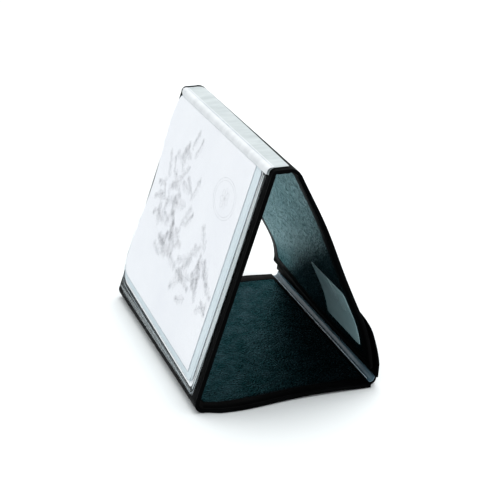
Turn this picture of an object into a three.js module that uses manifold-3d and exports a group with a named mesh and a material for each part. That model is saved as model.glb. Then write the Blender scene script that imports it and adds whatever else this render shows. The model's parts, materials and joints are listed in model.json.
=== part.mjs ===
// An easel photo album stand: vinyl covered boards joined by soft hinge webs into a tent shaped loop.
// Going round the loop: the front panel rises, the spine runs over the top, the rear panel comes down,
// the base runs back along the table, and a closure tab on the base laps up outside the rear panel.
//
// Millimetres. X runs from the front of the stand to its rear, Y along its length, and Z up.
// The origin is on the table, under the middle of the stand.
//
// Every panel is drawn in a frame of its own: local z runs along the panel round the loop, local y along
// the length of the stand, and local x is the depth below the panel's outer face, so it grows inwards.

import * as THREE from "three";
import { mergeVertices } from "three/addons/utils/BufferGeometryUtils.js";
import Module from "manifold-3d";

const wasm = await Module();
wasm.setup();

// Driving dimensions.
const LENGTH = 302;
const HEIGHT = 237.5;
const SPINE_WIDTH = 24.4;
const FLOOR_DEPTH = 194;
const FRONT_LEAN = 19;
const REAR_LEAN = 23;
const TAB_LEAN = 6;

// Where the rear panel bows: straight down to this height, then an arc down to the tab's steeper lean.
const BOW_HEIGHT = 75;
const BOW_RADIUS = 140;
const REAR_END_HEIGHT = 20;
const TAB_TOP_HEIGHT = 76;

// Outer radius of each hinge web.
const FOOT_FOLD_RADIUS = 9;
const TOP_FRONT_FOLD_RADIUS = 6;
const TOP_REAR_FOLD_RADIUS = 12;
const TAB_FOLD_RADIUS = 8;
const ARC_STEPS = 8;

// Thickness of each layer, and the clearance left between neighbours.
const GAP = 0.3;
const VINYL = 0.8;
const BOARD = 2;
const LINING = 0.6;
const PANEL_DEPTH = VINYL + GAP + BOARD + GAP + VINYL;
const STIFFENER = 0.6;
const TAB_VINYL = 0.6;
const HOOK_AND_LOOP = 0.8;
const PAPER = 0.3;
const FILM = 0.4;

// Borders of smooth vinyl round each lining: at the ends, along a fold, and along the rear's free edge.
const END_BORDER = 16;
const FOLD_BORDER = 3;
const SPINE_BORDER = 2;
const FREE_EDGE_BORDER = 10;

// How far the sheets on the front panel stand in from the foot's fold, the top fold, the near end
// and the far end. They reach the far end, and leave a border at the near one.
const BACKING_MARGINS = { foot: 5.5, top: 3, near: 20.5, far: 1.2 };
const CLEAR_POCKET_MARGINS = { foot: 1, top: 2.5, near: 10.5, far: 0.8 };
const SLEEVE_MARGINS = { foot: 9.5, top: 2, near: 21.5, far: 1.5 };
const PRINT_MARGINS = { foot: 15, top: 4, near: 36.5, far: 2 };

// The strip that binds the pages, on the spine, and how far it laps over the rear fold.
const STRIP_NEAR_MARGIN = 8;
const STRIP_FAR_MARGIN = 4;
const STRIP_OVERLAP = 4;

// The pocket for a card, inside the rear panel: its film, size and place.
const CARD_FILM = 0.8;
const CARD_POCKET_LENGTH = 90;
const CARD_POCKET_HEIGHT = 63;
const CARD_POCKET_NEAR_MARGIN = 19;
const CARD_POCKET_END_MARGIN = 19;

// The hook and loop tapes, near the rear panel's free edge, and the tab's welded border.
const TAPE_WIDTH = 34;
const TAPE_EDGE_MARGIN = 6;
const TAPE_END_MARGIN = 60;
const TAB_END_MARGIN = 1;
const TAB_WELD = 6;

// How far each hinge web stops short of the stand's ends, and of the panels' edges.
const WEB_END_MARGIN = 0.5;
const TAB_WEB_END_MARGIN = 6;
const WEB_DEPTH = 0.2;
const WEB_EDGE_GAP = 0.1;

// Stations and corners closer than these are taken as one.
const TOLERANCE = 0.01;
const WELD_TOLERANCE = 1e-4;

const radians = THREE.MathUtils.degToRad;
const BOW_TURN = REAR_LEAN - TAB_LEAN;

// Heading of each panel: the angle that its local z has turned from straight up, towards +X.
const FRONT_HEADING = FRONT_LEAN;
const SPINE_HEADING = 90;
const REAR_HEADING = 180 - REAR_LEAN;
const TAB_END_HEADING = 180 - TAB_LEAN;
const BASE_HEADING = 270;

const finish = (color, roughness, metalness = 0) => () =>
  new THREE.MeshStandardMaterial({ color, roughness, metalness });
const blackVinyl = finish(0x0c0e10, 0.45);
const lining = finish(0x3b4644, 0.7);
const greyBoard = finish(0x8d877b, 0.9);
const hookAndLoop = finish(0x15171a, 0.95);
const paper = finish(0xf4f4f2, 0.8);
const clearFilm = finish(0xe4eef2, 0.2);
const smokedVinyl = finish(0x5f6d70, 0.35);

// A unit step in the X-Z plane along a heading.
const along = (heading) => new THREE.Vector2(Math.sin(radians(heading)), Math.cos(radians(heading)));

// A fold between two panels whose outer faces meet at a corner: a web bent to an arc of the given radius.
// The panels turn about its axis, which is placed so that the web keeps its length when it opens out flat.
function makeFold(corner, headingIn, headingOut, radius) {
  const half = radians((headingOut - headingIn) / 2);
  const setback = radius * Math.tan(half);
  const towardsCentre = along((headingIn + headingOut) / 2 + 90);
  const centre = corner.clone().addScaledVector(towardsCentre, radius / Math.cos(half));
  return {
    radius,
    headingIn,
    turn: headingOut - headingIn,
    start: corner.clone().addScaledVector(along(headingIn), -setback),
    end: corner.clone().addScaledVector(along(headingOut), setback),
    axis: centre.clone().addScaledVector(towardsCentre, (-radius * half) / Math.sin(half)),
  };
}

// A profile is a list of stations along a panel, each with its distance s, its place and its turn.
function straightProfile(length) {
  return [0, length].map((s) => ({ s, x: 0, z: s, turn: 0 }));
}

function arcProfile(radius, turn, steps) {
  return Array.from({ length: steps + 1 }, (_, i) => {
    const bend = radians((turn * i) / steps);
    return { s: radius * bend, x: radius * (1 - Math.cos(bend)), z: radius * Math.sin(bend), turn: bend };
  });
}

// A straight run, a bow towards the inside, and a second straight run.
function bowedProfile(firstRun, length) {
  const arc = arcProfile(BOW_RADIUS, BOW_TURN, ARC_STEPS);
  const bow = arc.map((p) => ({ ...p, s: p.s + firstRun, z: p.z + firstRun }));
  const last = bow[bow.length - 1];
  const run = length - last.s;
  const x = last.x + run * Math.sin(last.turn);
  const z = last.z + run * Math.cos(last.turn);
  return [{ s: 0, x: 0, z: 0, turn: 0 }, ...bow, { s: length, x, z, turn: last.turn }];
}

// The station at any distance; past either end the profile carries on straight.
function stationAt(profile, s) {
  const after = profile.findIndex((p) => p.s >= s);
  const last = profile.length - 1;
  const next = after === -1 ? last : Math.max(after, 1);
  const [p, q] = [profile[next - 1], profile[next]];
  const t = (s - p.s) / (q.s - p.s);
  const mix = THREE.MathUtils.lerp;
  return { s, x: mix(p.x, q.x, t), z: mix(p.z, q.z, t), turn: mix(p.turn, q.turn, t) };
}

// The part of a panel between two depths, two distances along it and two places along the stand's length.
function layer(profile, { depth: [outer, inner], s: [from, to], y: [near, far] }) {
  const stations = [
    stationAt(profile, from),
    ...profile.filter((p) => p.s > from + TOLERANCE && p.s < to - TOLERANCE),
    stationAt(profile, to),
  ];
  const offset = (depth) => (p) =>
    new THREE.Vector2(p.x + depth * Math.cos(p.turn), p.z - depth * Math.sin(p.turn));
  const outline = [...stations.map(offset(outer)), ...stations.map(offset(inner)).reverse()];
  const geometry = new THREE.ExtrudeGeometry(new THREE.Shape(outline), {
    depth: far - near,
    bevelEnabled: false,
  });
  return geometry.rotateX(Math.PI / 2).translate(0, far, 0);
}

function toSolid(geometry) {
  const bare = geometry.clone().deleteAttribute("normal").deleteAttribute("uv");
  const merged = mergeVertices(bare, WELD_TOLERANCE);
  return new wasm.Manifold(
    new wasm.Mesh({
      numProp: 3,
      vertProperties: merged.attributes.position.array,
      triVerts: new Uint32Array(merged.index.array),
    }),
  );
}

function toGeometry(solid) {
  const { vertProperties, triVerts } = solid.getMesh();
  const geometry = new THREE.BufferGeometry();
  geometry.setAttribute("position", new THREE.BufferAttribute(vertProperties, 3));
  geometry.setIndex(new THREE.BufferAttribute(triVerts, 1));
  geometry.computeVertexNormals();
  return geometry;
}

// One closed shape with others cut out of it.
function cut(whole, ...tools) {
  const result = tools.reduce((solid, tool) => solid.subtract(toSolid(tool)), toSolid(whole));
  return toGeometry(result);
}

const addPart = (body, name, geometry, material) => {
  const mesh = new THREE.Mesh(geometry, material());
  mesh.name = name;
  body.add(mesh);
};

// A body's frame: its origin is the outer face's first line, and its local z points along the heading.
function makeBody(start, heading) {
  const body = new THREE.Group();
  body.position.set(start.x, 0, start.y);
  body.rotation.y = radians(heading);
  return body;
}

// Two places along the stand's length, an inset in from each end.
const inset = (near, far = near) => [-LENGTH / 2 + near, LENGTH / 2 - far];

// A covered board: the vinyl wraps its outer face and edges and turns in round the inner face, and
// the lining fills the window that the turned-in border leaves.
function addCoveredBoard(body, name, profile, borders) {
  const length = profile[profile.length - 1].s;
  const [startBorder, endBorder] = borders;
  const cover = layer(profile, { depth: [0, PANEL_DEPTH], s: [GAP, length - GAP], y: inset(0) });
  const wall = GAP + VINYL;
  const cavity = layer(profile, {
    depth: [VINYL, PANEL_DEPTH - VINYL],
    s: [wall, length - wall],
    y: inset(VINYL),
  });
  const window = layer(profile, {
    depth: [PANEL_DEPTH - 2 * VINYL, PANEL_DEPTH + VINYL],
    s: [startBorder, length - endBorder],
    y: inset(END_BORDER),
  });
  addPart(body, `${name}_cover`, cut(cover, cavity, window), blackVinyl);

  const board = layer(profile, {
    depth: [VINYL + GAP, VINYL + GAP + BOARD],
    s: [wall + GAP, length - wall - GAP],
    y: inset(VINYL + GAP),
  });
  addPart(body, `${name}_board`, board, greyBoard);

  const liningTop = PANEL_DEPTH - VINYL;
  const sheet = layer(profile, {
    depth: [liningTop, liningTop + LINING],
    s: [startBorder + GAP, length - endBorder - GAP],
    y: inset(END_BORDER + GAP),
  });
  addPart(body, `${name}_lining`, sheet, lining);
}

// A hinge web: a strip of vinyl bent round a fold, a little inside the panels' outer faces.
function makeHingeWeb(fold, name, endInset) {
  const body = makeBody(fold.start, fold.headingIn);
  const profile = arcProfile(fold.radius, fold.turn, ARC_STEPS);
  const length = profile[profile.length - 1].s;
  const web = layer(profile, {
    depth: [WEB_DEPTH, WEB_DEPTH + VINYL],
    s: [WEB_EDGE_GAP, length - WEB_EDGE_GAP],
    y: inset(endInset),
  });
  addPart(body, name, web, blackVinyl);
  return body;
}

// The corners where the panels' outer faces would meet.
const footCorner = new THREE.Vector2(0, 0);
const topFrontCorner = new THREE.Vector2(HEIGHT * Math.tan(radians(FRONT_LEAN)), HEIGHT);
const topRearCorner = new THREE.Vector2(topFrontCorner.x + SPINE_WIDTH, HEIGHT);
const tabCorner = new THREE.Vector2(FLOOR_DEPTH, 0);

const footFold = makeFold(footCorner, BASE_HEADING, 360 + FRONT_HEADING, FOOT_FOLD_RADIUS);
const topFrontFold = makeFold(topFrontCorner, FRONT_HEADING, SPINE_HEADING, TOP_FRONT_FOLD_RADIUS);
const topRearFold = makeFold(topRearCorner, SPINE_HEADING, REAR_HEADING, TOP_REAR_FOLD_RADIUS);
const tabFold = makeFold(tabCorner, TAB_END_HEADING, BASE_HEADING, TAB_FOLD_RADIUS);

// The base lies on the table, from the tab's fold back to the foot of the front panel.
function makeBase() {
  const base = makeBody(tabFold.end, BASE_HEADING);
  const length = tabFold.end.distanceTo(footFold.start);
  addCoveredBoard(base, "base", straightProfile(length), [FOLD_BORDER, FOLD_BORDER]);
  return base;
}

// The extent of a sheet on the front panel, from its margins.
const sheetExtent = (length, { foot, top, near, far }) => ({ s: [foot, length - top], y: inset(near, far) });

const frontLength = footFold.end.distanceTo(topFrontFold.start);

// The front panel, with a white backing sheet behind a clear film on its outer face.
const BACKING_DEPTH = -GAP - PAPER;
const CLEAR_POCKET_DEPTH = BACKING_DEPTH - GAP - FILM;

function makeFront() {
  const front = makeBody(footFold.end, FRONT_HEADING);
  const profile = straightProfile(frontLength);
  addCoveredBoard(front, "front", profile, [FOLD_BORDER, FOLD_BORDER]);
  const backing = layer(profile, {
    depth: [BACKING_DEPTH, BACKING_DEPTH + PAPER],
    ...sheetExtent(frontLength, BACKING_MARGINS),
  });
  addPart(front, "backing_sheet", backing, paper);
  const film = layer(profile, {
    depth: [CLEAR_POCKET_DEPTH, CLEAR_POCKET_DEPTH + FILM],
    ...sheetExtent(frontLength, CLEAR_POCKET_MARGINS),
  });
  addPart(front, "clear_pocket", film, clearFilm);
  return front;
}

// One display page: a print between the two films of a sleeve, hung from the top fold.
function makePage() {
  const page = makeBody(footFold.end, FRONT_HEADING);
  const profile = straightProfile(frontLength);
  const sleeve = sheetExtent(frontLength, SLEEVE_MARGINS);
  const sheets = [
    ["sleeve_back", FILM, sleeve, clearFilm],
    ["print", PAPER, sheetExtent(frontLength, PRINT_MARGINS), paper],
    ["sleeve_front", FILM, sleeve, clearFilm],
  ];
  let depth = CLEAR_POCKET_DEPTH - GAP;
  for (const [name, thickness, extent, material] of sheets) {
    addPart(page, name, layer(profile, { depth: [depth - thickness, depth], ...extent }), material);
    depth -= thickness + GAP;
  }
  return page;
}

// The spine, with the strip that binds the pages lying over it.
function makeSpine() {
  const spine = makeBody(topFrontFold.end, SPINE_HEADING);
  const length = topFrontFold.end.distanceTo(topRearFold.start);
  const profile = straightProfile(length);
  addCoveredBoard(spine, "spine", profile, [SPINE_BORDER, SPINE_BORDER]);
  const strip = layer(profile, {
    depth: [-GAP - FILM, -GAP],
    s: [0, length + STRIP_OVERLAP],
    y: inset(STRIP_NEAR_MARGIN, STRIP_FAR_MARGIN),
  });
  addPart(spine, "binding_strip", strip, clearFilm);
  return spine;
}

// Distances along the rear panel's profile, from its first line, at the heights it has to reach.
const rearFirstRun = (topRearFold.end.y - BOW_HEIGHT) / Math.cos(radians(REAR_LEAN));
const bowLength = BOW_RADIUS * radians(BOW_TURN);
const bowDrop = BOW_RADIUS * (Math.sin(radians(REAR_LEAN)) - Math.sin(radians(TAB_LEAN)));
const rearLength =
  rearFirstRun + bowLength + (BOW_HEIGHT - bowDrop - REAR_END_HEIGHT) / Math.cos(radians(TAB_LEAN));

// The rear panel, with a strip of loop tape outside and a pocket for a card inside.
const LOOP_DEPTH = [-GAP - HOOK_AND_LOOP, -GAP];
const TAPE_EXTENT = {
  s: [rearLength - TAPE_EDGE_MARGIN - TAPE_WIDTH, rearLength - TAPE_EDGE_MARGIN],
  y: inset(TAPE_END_MARGIN),
};

function makeRear() {
  const rear = makeBody(topRearFold.end, REAR_HEADING);
  const profile = bowedProfile(rearFirstRun, rearLength);
  addCoveredBoard(rear, "rear", profile, [FOLD_BORDER, FREE_EDGE_BORDER]);
  addPart(rear, "loop_tape", layer(profile, { depth: LOOP_DEPTH, ...TAPE_EXTENT }), hookAndLoop);
  const pocketEnd = rearLength - CARD_POCKET_END_MARGIN;
  const pocketNear = -LENGTH / 2 + CARD_POCKET_NEAR_MARGIN;
  const pocket = layer(profile, {
    depth: [PANEL_DEPTH + GAP, PANEL_DEPTH + GAP + CARD_FILM],
    s: [pocketEnd - CARD_POCKET_HEIGHT, pocketEnd],
    y: [pocketNear, pocketNear + CARD_POCKET_LENGTH],
  });
  addPart(rear, "card_pocket", pocket, smokedVinyl);
  return rear;
}

// The closure tab follows the rear panel's outer face, down past its end to the tab's fold.
const tabDepth = 3 * GAP + 2 * HOOK_AND_LOOP;
const tabThickness = 2 * TAB_VINYL + 2 * GAP + STIFFENER;

function makeTab() {
  const tab = makeBody(topRearFold.end, REAR_HEADING);
  const profileLength = rearLength + (REAR_END_HEIGHT - tabFold.start.y) / Math.cos(radians(TAB_LEAN));
  const profile = bowedProfile(rearFirstRun, profileLength);
  const top = (topRearFold.end.y - TAB_TOP_HEIGHT) / Math.cos(radians(REAR_LEAN));
  const outer = -tabDepth - tabThickness;
  const cover = layer(profile, {
    depth: [outer, -tabDepth],
    s: [top, profileLength - GAP],
    y: inset(TAB_END_MARGIN),
  });
  const cavity = layer(profile, {
    depth: [outer + TAB_VINYL, -tabDepth - TAB_VINYL],
    s: [top + TAB_WELD, profileLength + GAP],
    y: inset(TAB_END_MARGIN + TAB_WELD),
  });
  addPart(tab, "tab_cover", cut(cover, cavity), blackVinyl);
  const stiffener = layer(profile, {
    depth: [outer + TAB_VINYL + GAP, -tabDepth - TAB_VINYL - GAP],
    s: [top + TAB_WELD + GAP, profileLength - GAP],
    y: inset(TAB_END_MARGIN + TAB_WELD + GAP),
  });
  addPart(tab, "tab_stiffener", stiffener, greyBoard);
  const hookDepth = [LOOP_DEPTH[0] - GAP - HOOK_AND_LOOP, LOOP_DEPTH[0] - GAP];
  addPart(tab, "hook_tape", layer(profile, { depth: hookDepth, ...TAPE_EXTENT }), hookAndLoop);
  return tab;
}

const stand = new THREE.Group();
stand.add(
  makeBase(),
  makeHingeWeb(footFold, "foot_hinge", WEB_END_MARGIN),
  makeFront(),
  makePage(),
  makeHingeWeb(topFrontFold, "top_front_hinge", WEB_END_MARGIN),
  makeSpine(),
  makeHingeWeb(topRearFold, "top_rear_hinge", WEB_END_MARGIN),
  makeRear(),
  makeHingeWeb(tabFold, "tab_hinge", TAB_WEB_END_MARGIN),
  makeTab(),
);

// The origin goes under the middle of the stand, level with its underside.
const bounds = new THREE.Box3().setFromObject(stand, true);
stand.position.set(-(bounds.min.x + bounds.max.x) / 2, -(bounds.min.y + bounds.max.y) / 2, -bounds.min.z);

export default stand;
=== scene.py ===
"""An easel photo album stand: vinyl covered boards hinged in a loop, with a print in a sleeve on the front.

Every panel is drawn in a frame of its own. s runs along the panel round the loop (up the front, over the
spine, down the rear, back along the base), y along the stand's length, and depth inwards from the panel's
outer face. A Profile turns s and depth into a place in the row frame. All lengths are in metres.
"""

import json
import math

import bmesh
import bpy
import numpy as np
from mathutils import Vector
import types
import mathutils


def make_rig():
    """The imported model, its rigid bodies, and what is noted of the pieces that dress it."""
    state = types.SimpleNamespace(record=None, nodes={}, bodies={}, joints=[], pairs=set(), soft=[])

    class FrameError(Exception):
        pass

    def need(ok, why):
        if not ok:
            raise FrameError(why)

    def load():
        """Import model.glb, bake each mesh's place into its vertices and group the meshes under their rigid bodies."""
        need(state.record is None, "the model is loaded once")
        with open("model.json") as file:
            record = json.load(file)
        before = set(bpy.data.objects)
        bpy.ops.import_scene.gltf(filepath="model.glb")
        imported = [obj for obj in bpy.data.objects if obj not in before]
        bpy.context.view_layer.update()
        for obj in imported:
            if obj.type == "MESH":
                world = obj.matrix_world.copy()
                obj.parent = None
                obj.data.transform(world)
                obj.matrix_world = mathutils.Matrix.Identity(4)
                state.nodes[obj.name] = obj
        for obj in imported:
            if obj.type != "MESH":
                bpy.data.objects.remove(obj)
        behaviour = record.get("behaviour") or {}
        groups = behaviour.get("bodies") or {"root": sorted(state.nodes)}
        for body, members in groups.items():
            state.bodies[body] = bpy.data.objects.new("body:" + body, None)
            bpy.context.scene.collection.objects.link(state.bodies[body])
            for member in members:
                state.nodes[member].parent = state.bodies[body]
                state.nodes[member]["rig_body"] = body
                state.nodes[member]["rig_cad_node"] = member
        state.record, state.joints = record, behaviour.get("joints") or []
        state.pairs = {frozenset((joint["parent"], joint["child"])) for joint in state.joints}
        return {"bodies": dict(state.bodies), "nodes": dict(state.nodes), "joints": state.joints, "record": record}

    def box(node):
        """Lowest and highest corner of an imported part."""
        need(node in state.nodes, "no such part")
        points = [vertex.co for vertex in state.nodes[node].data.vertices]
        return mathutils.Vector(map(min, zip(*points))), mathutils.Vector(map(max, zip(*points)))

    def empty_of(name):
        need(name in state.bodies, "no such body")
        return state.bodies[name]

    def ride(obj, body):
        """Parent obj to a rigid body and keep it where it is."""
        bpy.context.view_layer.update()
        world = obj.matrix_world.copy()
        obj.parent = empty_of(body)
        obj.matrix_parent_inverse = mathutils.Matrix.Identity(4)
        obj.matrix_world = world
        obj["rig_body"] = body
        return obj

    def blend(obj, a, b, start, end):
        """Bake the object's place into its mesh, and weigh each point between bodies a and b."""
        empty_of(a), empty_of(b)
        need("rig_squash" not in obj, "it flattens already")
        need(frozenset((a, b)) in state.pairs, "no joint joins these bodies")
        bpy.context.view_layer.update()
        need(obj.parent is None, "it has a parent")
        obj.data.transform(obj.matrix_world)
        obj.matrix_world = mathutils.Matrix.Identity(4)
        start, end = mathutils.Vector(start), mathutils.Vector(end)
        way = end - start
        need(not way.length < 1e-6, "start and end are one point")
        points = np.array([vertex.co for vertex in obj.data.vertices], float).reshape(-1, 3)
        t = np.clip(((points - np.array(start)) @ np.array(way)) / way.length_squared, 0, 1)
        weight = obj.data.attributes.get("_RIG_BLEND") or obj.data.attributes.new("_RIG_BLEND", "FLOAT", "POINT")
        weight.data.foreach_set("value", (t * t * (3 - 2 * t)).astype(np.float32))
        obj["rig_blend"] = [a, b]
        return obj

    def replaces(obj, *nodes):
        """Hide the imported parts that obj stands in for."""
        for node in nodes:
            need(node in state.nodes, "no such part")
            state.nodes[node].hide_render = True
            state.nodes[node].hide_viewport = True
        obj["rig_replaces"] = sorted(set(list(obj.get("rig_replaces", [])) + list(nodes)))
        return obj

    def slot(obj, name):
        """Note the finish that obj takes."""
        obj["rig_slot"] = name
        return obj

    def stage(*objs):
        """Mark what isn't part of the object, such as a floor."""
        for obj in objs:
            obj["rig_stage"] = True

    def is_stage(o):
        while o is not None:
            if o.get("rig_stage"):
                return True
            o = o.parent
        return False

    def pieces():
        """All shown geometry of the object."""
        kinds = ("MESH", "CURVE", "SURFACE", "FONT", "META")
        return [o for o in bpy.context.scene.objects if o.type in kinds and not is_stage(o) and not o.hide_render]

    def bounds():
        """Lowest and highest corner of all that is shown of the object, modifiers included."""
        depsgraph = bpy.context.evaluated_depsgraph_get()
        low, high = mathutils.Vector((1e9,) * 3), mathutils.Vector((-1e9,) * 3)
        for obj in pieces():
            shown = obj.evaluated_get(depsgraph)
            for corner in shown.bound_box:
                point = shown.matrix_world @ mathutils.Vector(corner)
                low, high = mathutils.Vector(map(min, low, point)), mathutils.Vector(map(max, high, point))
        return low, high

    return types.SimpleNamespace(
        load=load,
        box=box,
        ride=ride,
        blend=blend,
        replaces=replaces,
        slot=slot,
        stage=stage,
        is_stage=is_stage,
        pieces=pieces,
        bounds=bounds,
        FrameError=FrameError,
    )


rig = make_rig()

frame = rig.load()
cad_box = [list(corner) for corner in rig.bounds()]

MM = 0.001
QUARTER = math.pi / 2
FULL_TURN = 6.28
TINY = 1e-9

# The loop of panels: how far each leans from upright, and the radius of each fold.
FRONT_LEAN = math.radians(19)
REAR_LEAN = math.radians(23)
TAB_LEAN = math.radians(6)
FOOT_RADIUS = 9 * MM
TOP_FRONT_RADIUS = 6 * MM
TOP_REAR_RADIUS = 12 * MM
TAB_RADIUS = 8 * MM
BOW_HEIGHT = 75 * MM
BOW_RADIUS = 140 * MM

# A covered board: the gap to the next panel, its thickness, and the smooth border round its lining.
GAP = 0.3 * MM
PANEL_DEPTH = 4.2 * MM
PANEL_ROUNDING = 1.6 * MM
LINING_FACE = 3.4 * MM
LINING_DEPTHS = (LINING_FACE - 0.05 * MM, PANEL_DEPTH - 0.15 * MM)
LINING_SLACK = 0.2 * MM
RECESS_EXTRA = 0.1 * MM
RECESS_SLOPE = 0.3 * MM
END_BORDER = 16 * MM
FOLD_BORDER = 3 * MM
SPINE_BORDER = 0.6 * MM
FREE_BORDER = 10 * MM
FREE_CORNER = 2.5 * MM
HEM_TAPER = 2.2 * MM
WELD_INSET = 3.2 * MM
WELD_WIDTH = 0.7 * MM
WELD_DEPTH = 0.35 * MM
BOARD_INSET = 1.1 * MM
BOARD_DEPTHS = (1.1 * MM, 3.1 * MM)

# The vinyl webs that bend at the folds, in two layers.
WEB_STEPS = 12
WEB_ROUNDING = 0.4 * MM
WEB_INSET = 0.3 * MM
LINED_WEB_DEPTH = 3.4 * MM
WEB_LINING_DEPTH = 4 * MM
FOOT_WEB_DEPTH = 2.4 * MM
TAB_WEB_INSET = 6 * MM
TAB_WEB_DEPTH = 1.4 * MM
TAB_INSIDE_DEPTH = 3.4 * MM
TAB_FILLET = 1.8 * MM
# The bead on the tab fold's crease, whose near white colour is a painted highlight.
BEAD_Y = (-138 * MM, 143 * MM)
BEAD_INSET = 1.1 * MM
BEAD_WIDTH = 2.8 * MM
BEAD_DEPTHS = (PANEL_DEPTH - 0.1 * MM, PANEL_DEPTH + 0.9 * MM)

# The closure tab, its stiffener and the hook and loop tapes.
TAB_TOP_HEIGHT = 76 * MM
TAB_THICKNESS = 2.4 * MM
TAB_THINNING = 1.4 * MM
TAB_HEM = 18 * MM
TAB_CORNERS = (14 * MM, 5 * MM, MM, MM)
TAB_CORE_START = 14 * MM
TAB_CORE_INSET = 7.3 * MM
TAB_CORE_DEPTHS = (-4.0 * MM, -3.4 * MM)
TAPE_THICKNESS = 0.8 * MM
TAPE_END_INSET = 60 * MM
TAPE_DEPTH = 3 * GAP + 2 * TAPE_THICKNESS
FUZZ_HEIGHT = 0.12 * MM
FUZZ_FREQUENCY = 4200

# How far the panels and the tab have warped from straight.
BASE_ARCH = 1.6 * MM
BASE_CURL = 2.2 * MM
BASE_SWELL = 7 * MM
REAR_BULGE = 2.8 * MM
FAR_STRAIGHTENING = 6 * MM
TAB_BULGE = 2.6 * MM
TAB_LEAN_IN = 1.6 * MM

# The sheets on the front, and their corners: foot near, foot far, top near, top far.
SHEET_CORNERS = (5 * MM, 22 * MM, 3 * MM, 12 * MM)
FILM_CORNERS = (8 * MM, 22 * MM, 4 * MM, 12 * MM)
PRINT_CORNERS = (0.5 * MM, 20 * MM, 0.5 * MM, 12 * MM)
LOWER_EDGE_RISE = 8 * MM
LOWER_DRAW_IN = 10 * MM
UPPER_DRAW_IN = 8 * MM
RIPPLE_SIZE = 110 * MM

# The films over the top: how far the strip overhangs the spine at its two ends, and the page's own hinge.
OVERHANG_NEAR = -2.5 * MM
OVERHANG_FAR = 1.5 * MM
WRAP_DEPTHS = (-0.7 * MM, -0.3 * MM)
PAGE_PIVOT_DEPTH = -2.7 * MM
FILM_HALF = 0.2 * MM
HINGE_START = 1.5 * MM
HINGE_END = -2.3 * MM
SETTLE_LENGTH = 4.5 * MM
SETTLE_DROP = 1.5 * MM

# Mesh making
ROUNDING_STEPS = 4
WAVES = 5
CLOSEST_SHARE = 0.4
MARK_OFFSETS = (-0.8 * MM, -0.3 * MM, 0, 0.3 * MM, 0.8 * MM)
RELIEF_FADE = 1.5 * MM
MERGE_DISTANCE = 1e-6
SHARP_ANGLE = math.radians(50)
STROKE_END = 0.3


# -------------------- frame of the loop


def heading_step(heading):
    """The unit step along a heading, which is measured from straight up towards +X."""
    return np.array([math.sin(heading), math.cos(heading)])


class Profile:
    """A line in the X-Z plane, made of straight runs and arcs. Depth is measured to its inner side."""

    def __init__(self, start, heading, *runs):
        self.nodes = [(0.0, np.array(start, float), heading, 0.0)]
        s, here = 0.0, np.array(start, float)
        for length, turn in runs:
            self.nodes[-1] = (*self.nodes[-1][:3], turn / length)
            here = self._step(here, heading, turn / length, length)
            s, heading = s + length, heading + turn
            self.nodes.append((s, here, heading, 0.0))
        self.length = s

    @staticmethod
    def _step(start, heading, curvature, distance):
        if abs(curvature) < TINY:
            return start + heading_step(heading) * distance
        end = heading + curvature * distance
        arc = np.array([math.cos(heading) - math.cos(end), math.sin(end) - math.sin(heading)])
        return start + arc / curvature

    def at(self, s):
        """The point and the heading at a distance along the line."""
        start = self.nodes[0]
        if s < 0:
            return start[1] + heading_step(start[2]) * s, start[2]
        for run in self.nodes:
            if s >= run[0]:
                start = run
        distance = s - start[0]
        return self._step(start[1], start[2], start[3], distance), start[2] + start[3] * distance

    def place(self, s, y, depth):
        """The points at three arrays of the same shape, as an (n, 3) array in the row frame."""
        s, y, depth = (np.ravel(a) for a in np.broadcast_arrays(s, y, depth))
        unique, inverse = np.unique(np.round(s, 9), return_inverse=True)
        found = [self.at(value) for value in unique]
        point = np.array([f[0] for f in found])[inverse]
        heading = np.array([f[1] for f in found])[inverse]
        x = point[:, 0] + depth * np.cos(heading)
        z = point[:, 1] - depth * np.sin(heading)
        return np.column_stack([x, y, z])


def setback(radius, turn):
    """How far from a corner an arc of this radius starts."""
    return radius * math.tan(turn / 2)


class Fold:
    """Where two panels' outer faces meet at a corner, rounded to a radius."""

    def __init__(self, corner, heading_in, heading_out, radius):
        self.turn = heading_out - heading_in
        distance = setback(radius, self.turn)
        self.start = np.array(corner) - heading_step(heading_in) * distance
        self.end = np.array(corner) + heading_step(heading_out) * distance
        self.profile = Profile(self.start, heading_in, (radius * self.turn, self.turn))


FRONT_HEADING = FRONT_LEAN
SPINE_HEADING = QUARTER
REAR_HEADING = math.pi - REAR_LEAN
TAB_HEADING = math.pi - TAB_LEAN
BASE_HEADING = 3 * QUARTER

base_low, base_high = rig.box("base_cover")
spine_low, spine_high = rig.box("spine_cover")
HALF = base_high.y
HEIGHT = spine_high.z

foot_x = base_low.x - GAP - setback(FOOT_RADIUS, FRONT_LEAN + QUARTER)
top_front_x = spine_low.x - GAP - setback(TOP_FRONT_RADIUS, QUARTER - FRONT_LEAN)
top_rear_x = spine_high.x + GAP + setback(TOP_REAR_RADIUS, QUARTER - REAR_LEAN)
tab_x = base_high.x + GAP + setback(TAB_RADIUS, QUARTER + TAB_LEAN)

foot = Fold((foot_x, 0), BASE_HEADING, 2 * math.pi + FRONT_HEADING, FOOT_RADIUS)
top_front = Fold((top_front_x, HEIGHT), FRONT_HEADING, SPINE_HEADING, TOP_FRONT_RADIUS)
top_rear = Fold((top_rear_x, HEIGHT), SPINE_HEADING, REAR_HEADING, TOP_REAR_RADIUS)
tab_fold = Fold((tab_x, 0), TAB_HEADING, BASE_HEADING, TAB_RADIUS)


def between(first, second, heading):
    """The straight profile of a panel that runs from one fold's end to the next fold's start."""
    return Profile(first.end, heading, (float(np.linalg.norm(second.start - first.end)), 0))


base_line = between(tab_fold, foot, BASE_HEADING)
front_line = between(foot, top_front, FRONT_HEADING)
spine_line = between(top_front, top_rear, SPINE_HEADING)

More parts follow.
